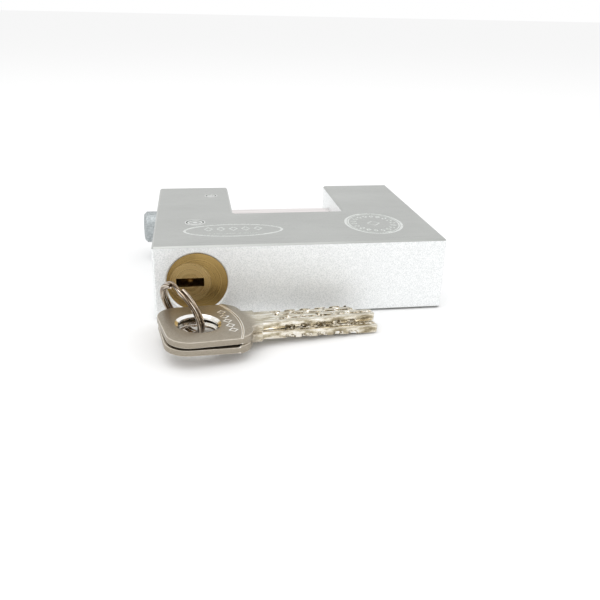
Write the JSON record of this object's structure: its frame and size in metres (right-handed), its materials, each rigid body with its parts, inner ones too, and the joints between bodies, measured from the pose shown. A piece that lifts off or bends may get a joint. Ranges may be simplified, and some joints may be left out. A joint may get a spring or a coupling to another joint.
{
  "type": "flat rectangular padlock with a sliding horizontal beam",
  "caption": "Flat rectangular steel padlock for a hasp: a sliding beam crosses the notch in its edge, a pin cylinder in the bottom edge locks it, with keys on a split ring.",
  "frame": {"origin": "centre of the lock body's flat back face, on which it lies", "axes": "+X along the body's width towards the blind tower, +Y from the bottom edge with the cylinder towards the notch, +Z out of the front face"},
  "size_m": [0.1, 0.1107, 0.024],
  "materials": {
    "plated_steel": "satin brushed, plated",
    "polished_steel": "polished and plated",
    "cylinder_brass": "turned",
    "pin_brass": "turned",
    "hardened_steel": "hardened, ground",
    "spring_steel": "drawn",
    "nickel_brass": "nickel plated, stamped and milled",
    "split_ring_steel": "nickel plated spring steel"
  },
  "bodies": {
    "lock_case": {"lock_body": "plated_steel", "cylinder_barrel": "cylinder_brass", "driver_pin_1": "hardened_steel", "pin_spring_1": "spring_steel", "driver_pin_2": "hardened_steel", "pin_spring_2": "spring_steel", "driver_pin_3": "hardened_steel", "pin_spring_3": "spring_steel", "driver_pin_4": "hardened_steel", "pin_spring_4": "spring_steel", "driver_pin_5": "hardened_steel", "pin_spring_5": "spring_steel", "chamber_cover": "cylinder_brass", "barrel_pin": "plated_steel", "detent_plug": "plated_steel", "detent_pin": "hardened_steel", "detent_spring": "spring_steel", "key_1": "nickel_brass", "key_2": "nickel_brass", "key_ring": "split_ring_steel"},
    "beam": {"beam": "polished_steel"},
    "plug": {"cylinder_plug": "cylinder_brass", "key_pin_1": "pin_brass", "key_pin_2": "pin_brass", "key_pin_3": "pin_brass", "key_pin_4": "pin_brass", "key_pin_5": "pin_brass", "plug_clip": "spring_steel", "tail_cam": "hardened_steel"}
  },
  "joints": [
    {"name": "beam_slide", "type": "slide", "parent": "lock_case", "child": "beam", "axis": [-1, 0, 0], "range_m": [0, 0.054]},
    {"name": "plug_turn", "type": "hinge", "parent": "lock_case", "child": "plug", "pos_m": [-0.0357, 0, 0.012], "axis": [0, 1, 0], "range_deg": [-90, 0]}
  ]
}
